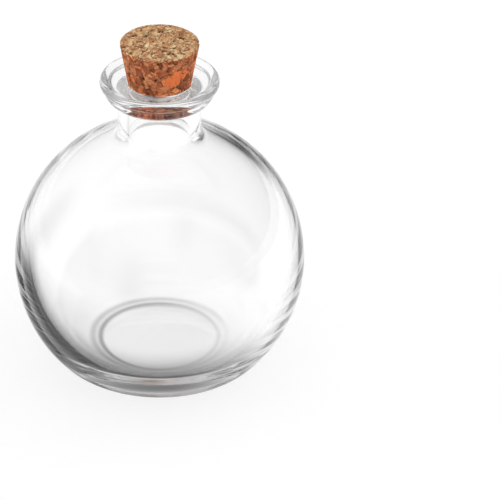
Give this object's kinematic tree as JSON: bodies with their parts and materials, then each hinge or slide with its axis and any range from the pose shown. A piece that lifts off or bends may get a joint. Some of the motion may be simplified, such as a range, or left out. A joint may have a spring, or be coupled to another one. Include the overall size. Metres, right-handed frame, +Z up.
{
  "type": "corked ball flask",
  "caption": "Clear glass ball flask with a flattened foot, short neck, rolled lip and a tapered cork stopper that pulls out.",
  "frame": {"origin": "on the flask's axis, in the plane of the flat foot ring that it stands on", "axes": "+Z up the axis, out of the mouth; X and Y lie in the resting plane, in no special direction because the part is round"},
  "size_m": [0.084, 0.084, 0.1032],
  "materials": {
    "clear_glass": "clear, polished by the flame",
    "cork": "agglomerated cork, matt, granular"
  },
  "bodies": {
    "flask": {"glass_flask": "clear_glass"},
    "stopper": {"cork_stopper": "cork"}
  },
  "joints": [
    {"name": "cork_pull", "type": "slide", "parent": "flask", "child": "stopper", "axis": [0, 0, 1], "range_m": [0, 0.03]}
  ]
}
